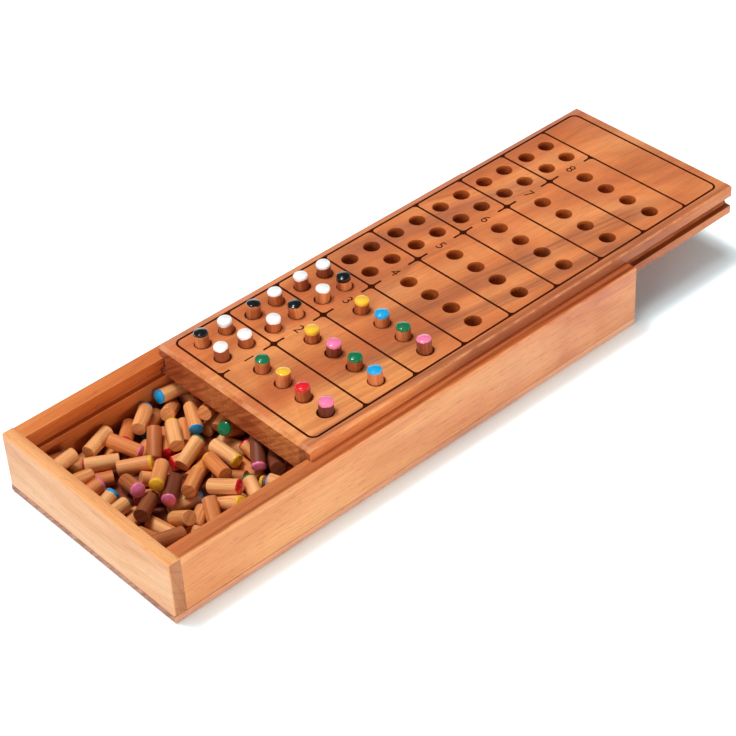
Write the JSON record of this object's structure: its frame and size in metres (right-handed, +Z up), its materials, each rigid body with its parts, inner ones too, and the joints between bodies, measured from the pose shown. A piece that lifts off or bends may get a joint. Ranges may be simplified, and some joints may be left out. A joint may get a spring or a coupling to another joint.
{
  "type": "wooden code-breaking game",
  "caption": "Low wooden case whose sliding lid is a peg board with numbered rows; coloured pegs and small marking pegs stand in its holes and lie loose in the case",
  "frame": {"origin": "middle of the underside of the case", "axes": "+X along the case towards the end the board slides out of, +Y across to the side of the marking holes, +Z up"},
  "size_m": [0.3111, 0.102, 0.0404],
  "materials": {
    "case_wood": "waxed pale wood with darker streaks, paler end grain",
    "board_wood": "waxed wood with fine diagonal figure, the row lines and numbers branded in dark brown",
    "blue_peg": "natural dowel with a glossy blue painted end",
    "green_peg": "natural dowel with a glossy green painted end",
    "red_peg": "natural dowel with a glossy red painted end",
    "pink_peg": "natural dowel with a glossy pink painted end",
    "yellow_peg": "natural dowel with a glossy yellow painted end",
    "black_peg": "natural dowel with a glossy black painted end",
    "white_peg": "natural dowel with a glossy white painted end"
  },
  "bodies": {
    "case": {"base_panel": "case_wood", "left_end_wall": "case_wood", "right_end_wall": "case_wood", "near_side_wall": "case_wood", "far_side_wall": "case_wood", "divider": "case_wood", "loose_blue_pegs": "blue_peg", "loose_green_pegs": "green_peg", "loose_red_pegs": "red_peg", "loose_pink_pegs": "pink_peg", "loose_yellow_pegs": "yellow_peg", "loose_black_pegs": "black_peg", "loose_white_pegs": "white_peg"},
    "board": {"peg_board": "board_wood"},
    "row1_code1_green_peg": {"row1_code1_green_peg": "green_peg"},
    "row1_code2_yellow_peg": {"row1_code2_yellow_peg": "yellow_peg"},
    "row1_code3_red_peg": {"row1_code3_red_peg": "red_peg"},
    "row1_code4_pink_peg": {"row1_code4_pink_peg": "pink_peg"},
    "row2_code1_yellow_peg": {"row2_code1_yellow_peg": "yellow_peg"},
    "row2_code2_pink_peg": {"row2_code2_pink_peg": "pink_peg"},
    "row2_code3_green_peg": {"row2_code3_green_peg": "green_peg"},
    "row2_code4_blue_peg": {"row2_code4_blue_peg": "blue_peg"},
    "row3_code1_yellow_peg": {"row3_code1_yellow_peg": "yellow_peg"},
    "row3_code2_blue_peg": {"row3_code2_blue_peg": "blue_peg"},
    "row3_code3_green_peg": {"row3_code3_green_peg": "green_peg"},
    "row3_code4_pink_peg": {"row3_code4_pink_peg": "pink_peg"},
    "row1_mark1_black_peg": {"row1_mark1_black_peg": "black_peg"},
    "row1_mark2_white_peg": {"row1_mark2_white_peg": "white_peg"},
    "row1_mark3_white_peg": {"row1_mark3_white_peg": "white_peg"},
    "row1_mark4_white_peg": {"row1_mark4_white_peg": "white_peg"},
    "row2_mark1_black_peg": {"row2_mark1_black_peg": "black_peg"},
    "row2_mark2_white_peg": {"row2_mark2_white_peg": "white_peg"},
    "row2_mark3_white_peg": {"row2_mark3_white_peg": "white_peg"},
    "row2_mark4_black_peg": {"row2_mark4_black_peg": "black_peg"},
    "row3_mark1_white_peg": {"row3_mark1_white_peg": "white_peg"},
    "row3_mark2_white_peg": {"row3_mark2_white_peg": "white_peg"},
    "row3_mark3_white_peg": {"row3_mark3_white_peg": "white_peg"},
    "row3_mark4_black_peg": {"row3_mark4_black_peg": "black_peg"}
  },
  "joints": [
    {"name": "board_slide", "type": "slide", "parent": "case", "child": "board", "axis": [1, 0, 0], "range_m": [-0.0663, 0.174]},
    {"name": "row1_code1_green_lift", "type": "slide", "parent": "board", "child": "row1_code1_green_peg", "axis": [0, -0.0698, 0.9976], "range_m": [0, 0.01]},
    {"name": "row1_code2_yellow_lift", "type": "slide", "parent": "board", "child": "row1_code2_yellow_peg", "axis": [0.0698, 0, 0.9976], "range_m": [0, 0.01]},
    {"name": "row1_code3_red_lift", "type": "slide", "parent": "board", "child": "row1_code3_red_peg", "axis": [0, 0.0698, 0.9976], "range_m": [0, 0.01]},
    {"name": "row1_code4_pink_lift", "type": "slide", "parent": "board", "child": "row1_code4_pink_peg", "axis": [0.0698, 0, 0.9976], "range_m": [0, 0.01]},
    {"name": "row2_code1_yellow_lift", "type": "slide", "parent": "board", "child": "row2_code1_yellow_peg", "axis": [0, 0, 1], "range_m": [0, 0.01]},
    {"name": "row2_code2_pink_lift", "type": "slide", "parent": "board", "child": "row2_code2_pink_peg", "axis": [0, -0.0698, 0.9976], "range_m": [0, 0.01]},
    {"name": "row2_code3_green_lift", "type": "slide", "parent": "board", "child": "row2_code3_green_peg", "axis": [0, -0.0698, 0.9976], "range_m": [0, 0.01]},
    {"name": "row2_code4_blue_lift", "type": "slide", "parent": "board", "child": "row2_code4_blue_peg", "axis": [0, 0.0698, 0.9976], "range_m": [0, 0.01]},
    {"name": "row3_code1_yellow_lift", "type": "slide", "parent": "board", "child": "row3_code1_yellow_peg", "axis": [0, -0.0698, 0.9976], "range_m": [0, 0.01]},
    {"name": "row3_code2_blue_lift", "type": "slide", "parent": "board", "child": "row3_code2_blue_peg", "axis": [0, 0, 1], "range_m": [0, 0.01]},
    {"name": "row3_code3_green_lift", "type": "slide", "parent": "board", "child": "row3_code3_green_peg", "axis": [0, 0, 1], "range_m": [0, 0.01]},
    {"name": "row3_code4_pink_lift", "type": "slide", "parent": "board", "child": "row3_code4_pink_peg", "axis": [0, 0.0698, 0.9976], "range_m": [0, 0.01]},
    {"name": "row1_mark1_black_lift", "type": "slide", "parent": "board", "child": "row1_mark1_black_peg", "axis": [0, 0.0698, 0.9976], "range_m": [0, 0.01]},
    {"name": "row1_mark2_white_lift", "type": "slide", "parent": "board", "child": "row1_mark2_white_peg", "axis": [-0.0698, 0, 0.9976], "range_m": [0, 0.01]},
    {"name": "row1_mark3_white_lift", "type": "slide", "parent": "board", "child": "row1_mark3_white_peg", "axis": [0, 0.0698, 0.9976], "range_m": [0, 0.01]},
    {"name": "row1_mark4_white_lift", "type": "slide", "parent": "board", "child": "row1_mark4_white_peg", "axis": [-0.0698, 0, 0.9976], "range_m": [0, 0.01]},
    {"name": "row2_mark1_black_lift", "type": "slide", "parent": "board", "child": "row2_mark1_black_peg", "axis": [0.0698, 0, 0.9976], "range_m": [0, 0.01]},
    {"name": "row2_mark2_white_lift", "type": "slide", "parent": "board", "child": "row2_mark2_white_peg", "axis": [-0.0698, 0, 0.9976], "range_m": [0, 0.01]},
    {"name": "row2_mark3_white_lift", "type": "slide", "parent": "board", "child": "row2_mark3_white_peg", "axis": [0, -0.0698, 0.9976], "range_m": [0, 0.01]},
    {"name": "row2_mark4_black_lift", "type": "slide", "parent": "board", "child": "row2_mark4_black_peg", "axis": [-0.0698, 0, 0.9976], "range_m": [0, 0.01]},
    {"name": "row3_mark1_white_lift", "type": "slide", "parent": "board", "child": "row3_mark1_white_peg", "axis": [0, 0.0698, 0.9976], "range_m": [0, 0.01]},
    {"name": "row3_mark2_white_lift", "type": "slide", "parent": "board", "child": "row3_mark2_white_peg", "axis": [-0.0698, 0, 0.9976], "range_m": [0, 0.01]},
    {"name": "row3_mark3_white_lift", "type": "slide", "parent": "board", "child": "row3_mark3_white_peg", "axis": [0.0698, 0, 0.9976], "range_m": [0, 0.01]},
    {"name": "row3_mark4_black_lift", "type": "slide", "parent": "board", "child": "row3_mark4_black_peg", "axis": [-0.0698, 0, 0.9976], "range_m": [0, 0.01]}
  ]
}
